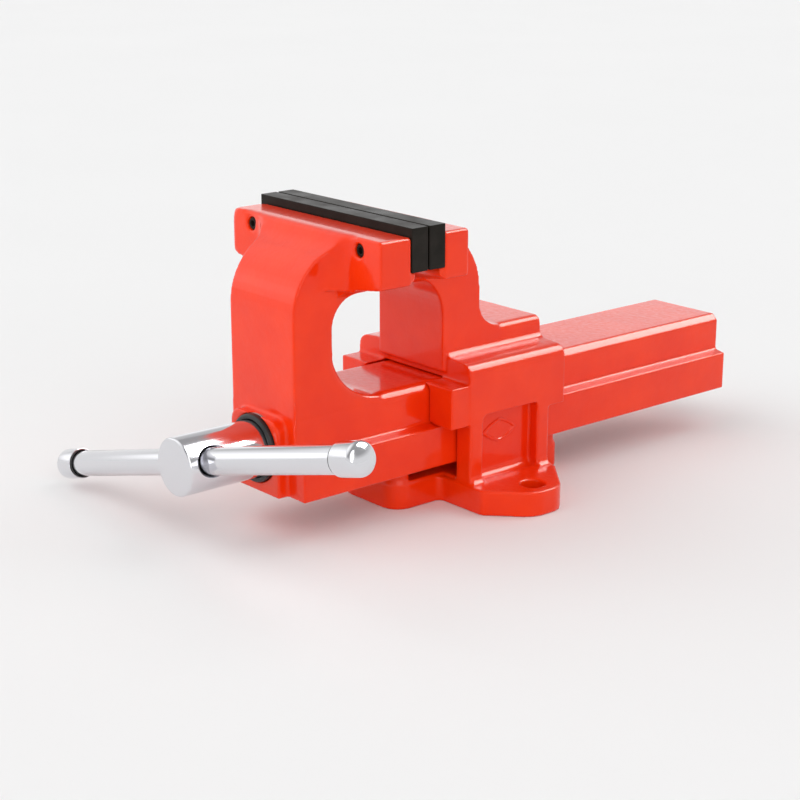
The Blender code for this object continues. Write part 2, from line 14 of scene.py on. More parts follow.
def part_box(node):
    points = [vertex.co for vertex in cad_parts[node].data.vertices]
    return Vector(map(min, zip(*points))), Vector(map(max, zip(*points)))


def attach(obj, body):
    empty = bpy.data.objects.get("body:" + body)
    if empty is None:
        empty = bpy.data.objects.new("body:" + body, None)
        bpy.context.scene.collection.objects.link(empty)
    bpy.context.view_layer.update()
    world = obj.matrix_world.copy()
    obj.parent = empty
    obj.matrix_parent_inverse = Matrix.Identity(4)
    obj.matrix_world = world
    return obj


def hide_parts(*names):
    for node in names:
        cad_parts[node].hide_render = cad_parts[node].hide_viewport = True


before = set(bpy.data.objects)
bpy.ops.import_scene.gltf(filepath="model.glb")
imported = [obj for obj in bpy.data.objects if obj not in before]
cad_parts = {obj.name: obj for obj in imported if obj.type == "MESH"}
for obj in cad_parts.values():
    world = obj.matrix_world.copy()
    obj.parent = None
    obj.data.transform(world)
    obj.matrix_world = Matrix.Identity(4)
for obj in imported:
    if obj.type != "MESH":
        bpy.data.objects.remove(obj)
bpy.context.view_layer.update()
MM = 0.001


def span(node, axis):
    """Lowest and highest coordinate of a CAD node on one axis, in millimetres."""
    low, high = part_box(node)
    return low[axis] / MM, high[axis] / MM


# ---------------------------------------------------------------- sizes

X, Y, Z = range(3)
JAW_LINE = (span("front_jaw_plate", Y)[1] + span("rear_jaw_plate", Y)[0]) / 2
PLATE_HALF_WIDTH = span("rear_jaw_plate", X)[1]
PLATE_BOTTOM, PLATE_TOP = span("rear_jaw_plate", Z)
FRONT_PLATE_BACK = span("front_jaw_plate", Y)[0]
REAR_PLATE_BACK = span("rear_jaw_plate", Y)[1]
GAP = 0.3  # between neighbouring pieces
FRONT_BLOCK_DEPTH = 23.2
REAR_BLOCK_DEPTH = 19.1
FRONT_BLOCK_FACE = FRONT_PLATE_BACK - GAP - FRONT_BLOCK_DEPTH
REAR_BLOCK_FACE = REAR_PLATE_BACK + GAP + REAR_BLOCK_DEPTH
ARM_HALF_WIDTH = 32.6
WEB_HALF_WIDTH = 32.0
BLOCK_TOP = 190.5
FILLET_TOP = BLOCK_TOP - 1.0  # an arm's fillets end just below the top of its block
WING_BOTTOM = 156.0

# Centre Y, centre Z and radius: the outer curves of the arm and the column, the throat's lower curve
ARM_ARC = (JAW_LINE - 26.5, 140.8, 42.8)
WEB_ARC = (JAW_LINE + 38.5, 138.5, 43.0)
THROAT_ARC = (JAW_LINE - 1.8, 121.0, 38.0)

BASE_TOP = 16.5
WALL_OUTER = 55.8
WALL_FRONT = JAW_LINE + 53.0
WALL_REAR = JAW_LINE + 123.3
SHOULDER_TOP = 97.2
WEB_FRONT = JAW_LINE + 50.0
GUIDE_REAR = JAW_LINE + 137.0
RECESS_WALL = 48.0
RECESS_FRONT = JAW_LINE + 64.0
RECESS_REAR = JAW_LINE + 112.5

SPINDLE_HEIGHT = (span("thrust_washer", Z)[0] + span("thrust_washer", Z)[1]) / 2
HEAD_FRONT, SPINDLE_END = span("spindle", Y)
HEAD_REAR = span("thrust_washer", Y)[0] - GAP
HEAD_RADIUS = span("spindle", X)[1]
THREAD_RADIUS = 14.0
THREAD_DEPTH = 2.75
THREAD_LEAD = 5.0
THREAD_START = span("retaining_collar", Y)[1] + 3.0
BAR_RADIUS = 8.5
BAR_TILT = math.radians(15.0)
BAR_Y = JAW_LINE - 117.5
BAR_HALF_LENGTH = 159.7
CAP_INNER = 144.2
CAP_OUTER = 164.6
CAP_RADIUS = 10.1

VOXEL = 0.8
CAST_SMOOTHING = 7  # smoothing steps, which round every edge of a casting
SOFT_EDGE_STEPS = 9  # smoothing steps for each millimetre of a soft edge's reach
CAST_SHARE = 0.2  # share of the remeshed faces that the finished casting keeps


# ---------------------------------------------------------------- making and finishing objects


def mesh_piece(name, shape, matrix=None):
    """A mesh object from a bmesh, linked to the scene."""
    mesh = bpy.data.meshes.new(name)
    shape.to_mesh(mesh)
    shape.free()
    obj = bpy.data.objects.new(name, mesh)
    bpy.context.scene.collection.objects.link(obj)
    if matrix is not None:
        mesh.transform(matrix)
    return obj


def bake_modifiers(obj):
    """Replaces the mesh by its evaluated one, and drops the modifiers."""
    bpy.context.view_layer.update()
    evaluated = obj.evaluated_get(bpy.context.evaluated_depsgraph_get())
    made = bpy.data.meshes.new_from_object(evaluated)
    old = obj.data
    obj.modifiers.clear()
    obj.data = made
    bpy.data.meshes.remove(old)
    return obj


def even_normals(obj):
    """Flat faces keep their own normal right up to the fillets beside them."""
    obj.data.shade_smooth()
    weighted = obj.modifiers.new("even", "WEIGHTED_NORMAL")
    weighted.mode = "FACE_AREA"
    weighted.weight = 80
    weighted.keep_sharp = True
    return obj


def smooth_by_angle(obj, degrees=35):
    obj.data.shade_smooth()
    obj.data.set_sharp_from_angle(angle=math.radians(degrees))
    return obj


def install(obj, body, slot, material, *nodes):
    """Gives a finished piece its material, parents it to its body and hides the CAD nodes it stands
    for; slot is not used.
    """
    obj.data.materials.clear()
    obj.data.materials.append(material)
    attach(obj, body)
    if nodes:
        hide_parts(*nodes)
    return obj


# ---------------------------------------------------------------- outlines and simple shapes


def arc(centre, radius, start, end, steps=10):
    """Points from the angle start to the angle end, in degrees, on a circle about centre."""
    points = []
    for step in range(steps + 1):
        angle = math.radians(start + (end - start) * step / steps)
        points.append((centre[0] + radius * math.cos(angle), centre[1] + radius * math.sin(angle)))
    return points


PLANES = {
    "XY": lambda a, b, c: (a, b, c),
    "XZ": lambda a, b, c: (a, c, b),
    "YZ": lambda a, b, c: (c, a, b),
}


def prism(name, outline, plane, low, high):
    """A flat outline in one plane, extruded between low and high on the third axis."""
    shape = bmesh.new()
    rings = []
    for level in (low, high):
        rings.append([shape.verts.new(Vector(PLANES[plane](a, b, level)) * MM) for a, b in outline])
    shape.faces.new(rings[0])
    shape.faces.new(reversed(rings[1]))
    for index in range(len(outline)):
        after = (index + 1) % len(outline)
        shape.faces.new((rings[0][index], rings[1][index], rings[1][after], rings[0][after]))
    bmesh.ops.recalc_face_normals(shape, faces=shape.faces)
    return mesh_piece(name, shape)


def turned_shape(profile, steps, closed=False):
    """A bmesh turned about local Z from (radius, height) points that run down the outer side."""
    shape = bmesh.new()
    columns = []
    for step in range(steps):
        angle = 2 * math.pi * step / steps
        column = []
        for radius, height in profile:
            spot = (radius * math.cos(angle) * MM, radius * math.sin(angle) * MM, height * MM)
            column.append(shape.verts.new(spot))
        columns.append(column)
    last = len(profile) if closed else len(profile) - 1
    for step in range(steps):
        here = columns[step]
        there = columns[(step + 1) % steps]
        for index in range(last):
            after = (index + 1) % len(profile)
            shape.faces.new((here[index], here[after], there[after], there[index]))
    bmesh.ops.remove_doubles(shape, verts=shape.verts, dist=1e-7)
    bmesh.ops.recalc_face_normals(shape, faces=shape.faces)
    return shape


def softened(profile, radii, steps=4):
    """The profile with an arc at each corner that has a radius."""
    points = []
    for index, point in enumerate(profile):
        radius = radii.get(index, 0)
        if radius == 0:
            points.append(point)
            continue
        here = Vector(point)
        before = (Vector(profile[index - 1]) - here).normalized()
        after = (Vector(profile[(index + 1) % len(profile)]) - here).normalized()
        half_angle = before.angle(after) / 2
        centre = here + (before + after).normalized() * radius / math.sin(half_angle)
        foot = radius / math.tan(half_angle)
        first = here + before * foot - centre
        last = here + after * foot - centre
        start = math.atan2(first.y, first.x)
        sweep = math.atan2(last.y, last.x) - start
        sweep = (sweep + math.pi) % (2 * math.pi) - math.pi
        points += arc(centre, radius, math.degrees(start), math.degrees(start + sweep), steps)
    return points


def boolean(obj, operation, tool):
    """Cuts or joins with another object, which is then removed."""
    modifier = obj.modifiers.new(operation, "BOOLEAN")
    modifier.operation = operation
    modifier.solver = "EXACT"
    modifier.object = tool
    bake_modifiers(obj)
    mesh = tool.data
    bpy.data.objects.remove(tool)
    bpy.data.meshes.remove(mesh)
    return obj


# ---------------------------------------------------------------- castings


def fillet_outline(corner, outward, radius, steps=8):
    """Section of the metal that fills a concave corner; outward gives the open side on each axis."""
    root = 2.0  # how deep the section reaches into the metal on both sides
    a, b = corner
    centre = (a + outward[0] * radius, b + outward[1] * radius)
    start = 270 if outward[1] > 0 else 90
    end = 180 if outward[0] > 0 else 0
    if start == 270 and end == 0:
        end = 360
    outline = [(a - outward[0] * root, b - outward[1] * root), (centre[0], b - outward[1] * root)]
    outline += arc(centre, radius, start, end, steps)
    outline.append((a - outward[0] * root, centre[1]))
    return outline


def crest_centre(plane_y, side, curve, radius):
    """Centre of the circle that touches an arm's outer curve and the upright face of its jaw block."""
    curve_y, curve_z, curve_radius = curve
    centre_y = plane_y + side * radius
    reach = curve_radius + radius
    return centre_y, curve_z + math.sqrt(reach**2 - (centre_y - curve_y) ** 2)


def below_fillet_top(outline):
    """The outline cut off level just below the top of the jaw block."""
    return [(y, min(z, FILLET_TOP)) for y, z in outline]


def crest_outline(plane_y, side, curve, radius):
    """Section of the fillet between an arm's outer curve and the upright face of its jaw block."""
    root = 4.0  # how deep the section reaches into the block
    curve_y, curve_z, curve_radius = curve
    centre = crest_centre(plane_y, side, curve, radius)
    towards_curve = math.degrees(math.atan2(curve_z - centre[1], curve_y - centre[0]))
    towards_plane = 0 if side < 0 else 180
    if side > 0:
        towards_curve += 360
    outline = arc(centre, radius, towards_plane, towards_curve)
    inside = plane_y - side * root
    outline += [(inside, curve_z + curve_radius * 0.8), (inside, centre[1])]
    return below_fillet_top(outline)


def arm_shadow(plane_y, side, curve, radius, half_width):
    """A wide block bounded by an arm's outer curve and crest fillet: it trims the wing fillets."""
    curve_y, curve_z, curve_radius = curve
    centre = crest_centre(plane_y, side, curve, radius)
    angle = math.degrees(math.atan2(centre[1] - curve_z, centre[0] - curve_y))
    far = 180 if side < 0 else 0
    outline = arc((curve_y, curve_z), curve_radius, far, angle, 20)
    back = 180 if side > 0 else 0
    start = angle - 180 if side < 0 else angle + 180
    outline += arc(centre, radius, start, back)[1:]
    inside = plane_y - side * 6
    outline += [(inside, centre[1]), (inside, 140)]
    return prism("arm_shadow", below_fillet_top(outline), "YZ", -half_width, half_width)


def jaw_fillets(side, plane_y, curve, half_width, wing_radius, crest_radius):
    """Fillets that blend an arm into its jaw block: one across the top and one down each side."""
    crest = crest_outline(plane_y, side, curve, crest_radius)
    made = [prism("crest", crest, "YZ", -half_width, half_width)]
    for hand in (-1, 1):
        outline = fillet_outline((hand * half_width, plane_y), (hand, side), wing_radius, 12)
        bar = prism("wing_fillet", outline, "XY", WING_BOTTOM, BLOCK_TOP)
        trim = arm_shadow(plane_y, side, curve, crest_radius, half_width + wing_radius + 5)
        made.append(boolean(bar, "INTERSECT", trim))
    return made


def static_fillets():
    """Fillets beside the raised deck, where the side walls stand on the lugs, and in the recesses."""
    radius = 6.0
    made = []
    for hand in (-1, 1):
        posts = [(WALL_FRONT + 0.5, RECESS_FRONT - 0.5), (RECESS_REAR + 0.5, WALL_REAR - 0.5)]
        feet = [(WEB_HALF_WIDTH, SHOULDER_TOP, WEB_FRONT + 3, GUIDE_REAR - 1)]
        feet += [(WALL_OUTER, BASE_TOP, low, high) for low, high in posts]
        feet.append((RECESS_WALL, BASE_TOP, RECESS_FRONT - 1, RECESS_REAR + 1))
        for across, height, low, high in feet:
            outline = fillet_outline((hand * across, height), (hand, 1), radius)
            made.append(prism("foot_fillet", outline, "XZ", low, high))
    return made


def join_meshes(obj, others):
    """Adds the meshes of others to obj, as loose shells for the voxel remesh to merge."""
    shape = bmesh.new()
    shape.from_mesh(obj.data)
    for other in others:
        shape.from_mesh(other.data)
        mesh = other.data
        bpy.data.objects.remove(other)
        bpy.data.meshes.remove(mesh)
    bmesh.ops.remove_doubles(shape, verts=shape.verts, dist=1e-6)
    shape.to_mesh(obj.data)
    shape.free()
    return obj


def nearness(spot, points, reach):
    """1 on the line through points and 0 at reach or further from it."""
    best = reach
    for first, last in zip(points, points[1:]):
        along = last - first
        share = min(max((spot - first).dot(along) / along.length_squared, 0.0), 1.0)
        best = min(best, (spot - first - along * share).length)
    return 1.0 - (best / reach) ** 2


def soften_edge(obj, line, reach):
    """Smooths the vertices within reach of a line of points, all in millimetres."""
    points = [Vector(point) * MM for point in line]
    low = [min(point[axis] for point in points) - reach * MM for axis in range(3)]
    high = [max(point[axis] for point in points) + reach * MM for axis in range(3)]
    group = obj.vertex_groups.new(name="edge")
    for vertex in obj.data.vertices:
        spot = vertex.co
        if all(low[axis] < spot[axis] < high[axis] for axis in range(3)):
            weight = nearness(spot, points, reach * MM)
            if weight > 0.0:
                group.add([vertex.index], weight, "REPLACE")
    smooth = obj.modifiers.new("soft_edge", "SMOOTH")
    smooth.vertex_group = "edge"
    smooth.factor = 0.6
    smooth.iterations = int(reach * SOFT_EDGE_STEPS)
    bake_modifiers(obj)
    obj.vertex_groups.clear()


def cast_copy(name, node, additions, soft_edges):
    """The CAD casting with its fillets, remeshed and smoothed so that every edge is rounded."""
    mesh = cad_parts[node].data.copy()
    obj = bpy.data.objects.new(name, mesh)
    bpy.context.scene.collection.objects.link(obj)
    join_meshes(obj, additions)
    remesh = obj.modifiers.new("voxels", "REMESH")
    remesh.mode = "VOXEL"
    remesh.voxel_size = VOXEL * MM
    smooth = obj.modifiers.new("edges", "SMOOTH")
    smooth.factor = 0.5
    smooth.iterations = CAST_SMOOTHING
    bake_modifiers(obj)
    for line, reach in soft_edges:
        soften_edge(obj, line, reach)
    thin = obj.modifiers.new("flats", "DECIMATE")
    thin.ratio = CAST_SHARE
    bake_modifiers(obj)
    keep_in_box(obj, node)
    return even_normals(obj)


def keep_in_box(obj, node):
    """No vertex lies outside the box of the CAD node it stands for."""
    low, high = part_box(node)
    for vertex in obj.data.vertices:
        for axis in range(3):
            vertex.co[axis] = min(max(vertex.co[axis], low[axis]), high[axis])


def moving_jaw_soft_edges():
    """Lines along the edges that are rounded more than the rest, each with its reach.

    They are the block's top front edge, two edges of its left end, and both sides of the throat.
    """
    left = -span("moving_jaw", X)[1]
    ridge = (FRONT_BLOCK_FACE, BLOCK_TOP)
    corner = (left, *ridge)
    edges = [
        ([(-55.0, *ridge), (45.0, *ridge)], 8.0),
        ([corner, (left, FRONT_PLATE_BACK, BLOCK_TOP)], 7.0),
        ([corner, (left, FRONT_BLOCK_FACE, WING_BOTTOM)], 5.0),
    ]
    throat = arc(THROAT_ARC[:2], THROAT_ARC[2], 200, 270, 7)
    for hand in (-1, 1):
        beside = [(hand * ARM_HALF_WIDTH, *point) for point in throat]
        beside.append((hand * (ARM_HALF_WIDTH - 1.5), WEB_FRONT, throat[-1][1]))
        edges.append((beside, 8.0))
    return edges


def make_castings(materials):
    front = jaw_fillets(-1, FRONT_BLOCK_FACE, ARM_ARC, ARM_HALF_WIDTH, 16.0, 20.0)
    moving = cast_copy("moving_jaw_casting", "moving_jaw", front, moving_jaw_soft_edges())
    install(moving, "slide", "enamel_moving", materials["enamel"], "moving_jaw")
    rear = jaw_fillets(1, REAR_BLOCK_FACE, WEB_ARC, WEB_HALF_WIDTH, 12.0, 12.0)
    static = cast_copy("static_body_casting", "static_body", rear + static_fillets(), [])
    install(static, "base", "enamel_static", materials["enamel"], "static_body")


# ---------------------------------------------------------------- materials


def shader_material(name, colour, roughness, metallic=0.0):
    """A new material with one Principled shader; returns it with its nodes, links and shader."""
    material = bpy.data.materials.new(name)
    material.use_nodes = True
    nodes = material.node_tree.nodes
    shader = nodes["Principled BSDF"]
    shader.inputs["Base Color"].default_value = (*colour, 1.0)
    shader.inputs["Roughness"].default_value = roughness
    shader.inputs["Metallic"].default_value = metallic
    return material, nodes, material.node_tree.links, shader


def noise(nodes, links, scale, detail=3.0, roughness=0.5):
    """A noise texture in the piece's own coordinates; scale is its features per metre."""
    place = nodes.new("ShaderNodeTexCoord")
    texture = nodes.new("ShaderNodeTexNoise")
    texture.inputs["Scale"].default_value = scale
    texture.inputs["Detail"].default_value = detail
    texture.inputs["Roughness"].default_value = roughness
    links.new(place.outputs["Object"], texture.inputs["Vector"])
    return texture.outputs["Fac"]


def bump(nodes, links, height, depth, strength=1.0, before=None):
    """Bump from a height between 0 and 1, whose full depth is given in millimetres."""
    node = nodes.new("ShaderNodeBump")
    node.inputs["Strength"].default_value = strength
    node.inputs["Distance"].default_value = depth * MM
    links.new(height, node.inputs["Height"])
    if before is not None:
        links.new(before, node.inputs["Normal"])
    return node.outputs["Normal"]


def ramp(nodes, links, value, stops):
    """A colour ramp over value; stops are (position, colour) pairs."""
    node = nodes.new("ShaderNodeValToRGB")
    elements = node.color_ramp.elements
    while len(elements) < len(stops):
        elements.new(0.5)
    for element, (position, colour) in zip(elements, stops):
        element.position = position
        element.color = (*colour, 1.0)
    links.new(value, node.inputs["Fac"])
    return node.outputs["Color"]


def spread(nodes, links, value, low, high, bottom, top):
    """Maps value from the range low..high to the range bottom..top."""
    node = nodes.new("ShaderNodeMapRange")
    node.inputs["From Min"].default_value = low
    node.inputs["From Max"].default_value = high
    node.inputs["To Min"].default_value = bottom
    node.inputs["To Max"].default_value = top
    links.new(value, node.inputs["Value"])
    return node.outputs["Result"]


ENAMEL_RED = (0.87, 0.034, 0.001)
ENAMEL_DEEP = (0.81, 0.026, 0.001)


def enamel_material():
    """Thick glossy enamel on cast iron: lumps and grain of the sand mould under a fine orange peel."""
    material, nodes, links, shader = shader_material("orange_red_enamel", ENAMEL_RED, 0.34)
    cloud = noise(nodes, links, 30.0, 3.0)
    colour = ramp(nodes, links, cloud, [(0.35, ENAMEL_DEEP), (0.65, ENAMEL_RED)])
    links.new(colour, shader.inputs["Base Color"])
    grain = noise(nodes, links, 300.0, 2.0)
    links.new(spread(nodes, links, grain, 0.3, 0.7, 0.28, 0.42), shader.inputs["Roughness"])
    lumps = bump(nodes, links, noise(nodes, links, 60.0, 2.0), 0.5, 0.6)
    sand = bump(nodes, links, noise(nodes, links, 230.0, 2.0), 0.22, 0.6, lumps)
    peel = bump(nodes, links, noise(nodes, links, 550.0, 1.0), 0.07, 0.5, sand)
    links.new(peel, shader.inputs["Normal"])
    shader.inputs["IOR"].default_value = 1.5
    shader.inputs["Specular IOR Level"].default_value = 0.25
    shader.inputs["Specular Tint"].default_value = (1.0, 0.3, 0.12, 1.0)
    shader.inputs["Coat Weight"].default_value = 1.0
    shader.inputs["Coat IOR"].default_value = 1.33
    shader.inputs["Coat Roughness"].default_value = 0.09
    return material


def chrome_material(name, roughness):
    """Polished plating with a faint hand-polished unevenness."""
    material, nodes, links, shader = shader_material(name, (0.74, 0.74, 0.77), roughness, 1.0)
    smear = noise(nodes, links, 45.0, 3.0)
    varied = spread(nodes, links, smear, 0.3, 0.7, roughness * 0.8, roughness * 1.4)
    links.new(varied, shader.inputs["Roughness"])
    links.new(bump(nodes, links, noise(nodes, links, 130.0, 2.0), 0.02, 0.3), shader.inputs["Normal"])
    return material


def blackened_material():
    """Black-oxide steel: nearly black, brownish where the oxide is thin."""
    material, nodes, links, shader = shader_material("black_oxide_steel", (0.01, 0.01, 0.008), 0.34)
    stain = noise(nodes, links, 60.0, 4.0, 0.6)
    colour = ramp(nodes, links, stain, [(0.3, (0.006, 0.005, 0.003)), (0.7, (0.018, 0.014, 0.011))])
    links.new(colour, shader.inputs["Base Color"])
    links.new(spread(nodes, links, stain, 0.3, 0.7, 0.26, 0.42), shader.inputs["Roughness"])
    links.new(bump(nodes, links, noise(nodes, links, 900.0, 3.0), 0.03, 0.5), shader.inputs["Normal"])
    shader.inputs["Specular IOR Level"].default_value = 0.12
    return material


def steel_material():
    """Plain turned steel with fine tool marks."""
    material, nodes, links, shader = shader_material("turned_steel", (0.5, 0.5, 0.51), 0.35, 1.0)
    grain = noise(nodes, links, 300.0, 4.0, 0.6)
    links.new(spread(nodes, links, grain, 0.3, 0.7, 0.28, 0.45), shader.inputs["Roughness"])
    links.new(bump(nodes, links, noise(nodes, links, 1500.0, 2.0), 0.02, 0.4), shader.inputs["Normal"])
    return material


def oiled_thread_material():
    """Cut and oiled steel of the spindle's thread."""
    material, nodes, links, shader = shader_material("oiled_steel", (0.36, 0.35, 0.34), 0.28, 1.0)
    oil = noise(nodes, links, 120.0, 3.0)
    colour = ramp(nodes, links, oil, [(0.3, (0.28, 0.27, 0.25)), (0.7, (0.42, 0.41, 0.40))])
    links.new(colour, shader.inputs["Base Color"])
    links.new(spread(nodes, links, oil, 0.3, 0.7, 0.2, 0.38), shader.inputs["Roughness"])
    return material


def bronze_material():
    """Machined bronze of the nut, a little tarnished."""
    material, nodes, links, shader = shader_material("nut_bronze", (0.62, 0.40, 0.18), 0.38, 1.0)
    tarnish = noise(nodes, links, 70.0, 4.0, 0.6)
    colour = ramp(nodes, links, tarnish, [(0.3, (0.42, 0.26, 0.12)), (0.7, (0.66, 0.45, 0.21))])
    links.new(colour, shader.inputs["Base Color"])
    links.new(spread(nodes, links, tarnish, 0.3, 0.7, 0.3, 0.5), shader.inputs["Roughness"])
    links.new(bump(nodes, links, noise(nodes, links, 800.0, 3.0), 0.03, 0.4), shader.inputs["Normal"])
    return material


def rubber_material():
    """Black moulded rubber with a slight bloom."""
    material, nodes, links, shader = shader_material("black_rubber", (0.012, 0.012, 0.012), 0.4)
    bloom = noise(nodes, links, 90.0, 3.0)
    colour = ramp(nodes, links, bloom, [(0.3, (0.009, 0.009, 0.009)), (0.7, (0.02, 0.02, 0.02))])
    links.new(colour, shader.inputs["Base Color"])
    links.new(spread(nodes, links, bloom, 0.3, 0.7, 0.32, 0.5), shader.inputs["Roughness"])
    return material


def make_materials():
    return {
        "enamel": enamel_material(),
        "handle": chrome_material("handle_chrome", 0.10),
        "head": chrome_material("spindle_chrome", 0.12),
        "oxide": blackened_material(),
        "steel": steel_material(),
        "thread": oiled_thread_material(),
        "bronze": bronze_material(),
        "rubber": rubber_material(),
    }


# ---------------------------------------------------------------- jaw plates


def serrated_plate(name, side, material, slot, node):
    """A jaw plate whose gripping face is cut with small crossed serrations."""
    low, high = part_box(node)
    pitch = 2.0
    depth = 0.6  # of a sharp groove; the grid's points miss its bottom and the ridges' tops
    step = pitch / 4
    edge = 0.3  # chamfer around the plate
    half_seam = 0.2  # from the line where the jaws meet to the top of a sharp ridge
    face = JAW_LINE + side * half_seam
    back = (low if side < 0 else high)[Y] / MM
    width = 2 * (PLATE_HALF_WIDTH - edge)
    height = PLATE_TOP - PLATE_BOTTOM - 2 * edge
    columns = round(width / step)
    rows = round(height / step)
    shape = bmesh.new()
    grid = []
    for row in range(rows + 1):
        level = PLATE_BOTTOM + edge + height * row / rows
        line = []
        for column in range(columns + 1):
            across = -PLATE_HALF_WIDTH + edge + width * column / columns
            wave = max(groove(across + level, pitch), groove(across - level, pitch))
            line.append(shape.verts.new(Vector((across, face + side * depth * wave, level)) * MM))
        grid.append(line)
    for lower, upper in zip(grid, grid[1:]):
        for index in range(columns):
            shape.faces.new((lower[index], lower[index + 1], upper[index + 1], upper[index]))
    rim = grid[0] + [line[-1] for line in grid[1:]] + grid[-1][-2::-1]
    rim += [line[0] for line in grid[-2:0:-1]]
    rings = [rim]
    shoulder = face + side * (edge + depth)
    inner_ring = (0.0, shoulder + side * edge)
    levels = [(0.0, shoulder), inner_ring, (0.0, back - side * edge), (edge, back)]
    for inset, y in levels:
        ring = []
        for vertex in rim:
            across = grown(vertex.co.x / MM, -PLATE_HALF_WIDTH, PLATE_HALF_WIDTH, edge, inset)
            level = grown(vertex.co.z / MM, PLATE_BOTTOM, PLATE_TOP, edge, inset)
            ring.append(shape.verts.new(Vector((across, y, level)) * MM))
        rings.append(ring)
    for inner, outer in zip(rings, rings[1:]):
        for index in range(len(rim)):
            after = (index + 1) % len(rim)
            shape.faces.new((inner[index], inner[after], outer[after], outer[index]))
    shape.faces.new(rings[-1])
    bmesh.ops.recalc_face_normals(shape, faces=shape.faces)
    plate = smooth_by_angle(mesh_piece(name, shape), 30)
    return install(plate, "slide" if side < 0 else "base", slot, material, node)


def groove(distance, pitch):
    """0 on a ridge and 1 at the bottom of a V groove."""
    phase = (distance / pitch) % 1.0
    return 1.0 - abs(2.0 * phase - 1.0)


def grown(value, low, high, edge, inset):
    """Moves a rim coordinate from its chamfered place out to the side of the plate."""
    if value < low + edge * 1.01:
        return low + inset
    if value > high - edge * 1.01:
        return high - inset
    return value


# ---------------------------------------------------------------- turned pieces


def on_spindle(y):
    """Local Z runs along +Y, with its zero on the spindle's axis at the station y."""
    turn = Matrix.Rotation(math.radians(-90), 4, "X")
    return Matrix.Translation((0, y * MM, SPINDLE_HEIGHT * MM)) @ turn


def on_bar(distance, outward=1):
    """Local Z runs outwards along the handle bar, with its zero at a distance from the spindle."""
    centre = Matrix.Translation((0, BAR_Y * MM, SPINDLE_HEIGHT * MM))
    tilt = Matrix.Rotation(-BAR_TILT, 4, "Y")
    side = Matrix.Rotation(math.radians(90 * outward), 4, "Y")
    return centre @ tilt @ side @ Matrix.Translation((0, 0, distance * MM))


def make_spindle(materials):
    """Chromed head with the bar hole, then a journal and the cut thread's core."""
    head = HEAD_REAR - HEAD_FRONT
    journal = THREAD_START - HEAD_FRONT
    length = SPINDLE_END - HEAD_FRONT
    root = THREAD_RADIUS - THREAD_DEPTH
    profile = [
        (0, length),
        (root - 1.5, length),
        (root, length - 1.5),
        (root, journal + 2.0),
        (THREAD_RADIUS, journal),
        (THREAD_RADIUS, head),
        (HEAD_RADIUS, head),
        (HEAD_RADIUS, 0),
        (0, 0),
    ]
    profile = softened(profile, {6: 0.6, 7: 1.3}, 5)
    spindle = mesh_piece("spindle_shaft", turned_shape(profile, 128), on_spindle(HEAD_FRONT))
    reach = HEAD_RADIUS + 4
    lip = 0.9
    hole = BAR_RADIUS + GAP
    flare = math.sqrt(HEAD_RADIUS**2 - hole**2)
    bore = softened(
        [
            (0, reach),
            (hole + lip + reach - flare, reach),
            (hole, flare - lip * 2),
            (hole, lip * 2 - flare),
            (hole + lip + reach - flare, -reach),
            (0, -reach),
        ],
        {2: 3.0, 3: 3.0},
        5,
    )
    cutter = mesh_piece("bar_hole", turned_shape(bore, 96), on_bar(0))
    boolean(spindle, "DIFFERENCE", cutter)
    smooth_by_angle(spindle, 30)
    install(spindle, "screw", "spindle_chrome", materials["head"], "spindle")
    thread = smooth_by_angle(mesh_piece("spindle_thread", thread_shape(), on_spindle(0)), 30)
    install(thread, "screw", "spindle_chrome", materials["thread"])


def thread_shape(per_turn=48):
    """The thread's ridge, a trapezoid swept along a helix that fades in and out at its ends."""
    root = THREAD_RADIUS - THREAD_DEPTH
    start = THREAD_START + 3.0
    end = SPINDLE_END - 4.0
    turns = (end - start) / THREAD_LEAD
    crest_half = 0.9
    root_half = 1.65
    fade = per_turn // 2
    count = int(turns * per_turn)
    shape = bmesh.new()
    sections = []
    for step in range(count + 1):
        angle = 2 * math.pi * step / per_turn
        height = start + THREAD_LEAD * step / per_turn
        rise = min(1.0, step / fade, (count - step) / fade) * THREAD_DEPTH + 0.05
        ridge = root + rise
        section = []
        for radius, along in (
            (root - 0.4, -root_half),
            (root, -root_half),
            (ridge, -crest_half),
            (ridge, crest_half),
            (root, root_half),
            (root - 0.4, root_half),
        ):
            spot = (radius * math.cos(angle), radius * math.sin(angle), height + along)
            section.append(shape.verts.new(Vector(spot) * MM))
        sections.append(section)
    for here, there in zip(sections, sections[1:]):
        for index in range(len(here)):
            after = (index + 1) % len(here)
            shape.faces.new((here[index], here[after], there[after], there[index]))
    shape.faces.new(sections[0])
    shape.faces.new(sections[-1])
    bmesh.ops.recalc_face_normals(shape, faces=shape.faces)
    return shape


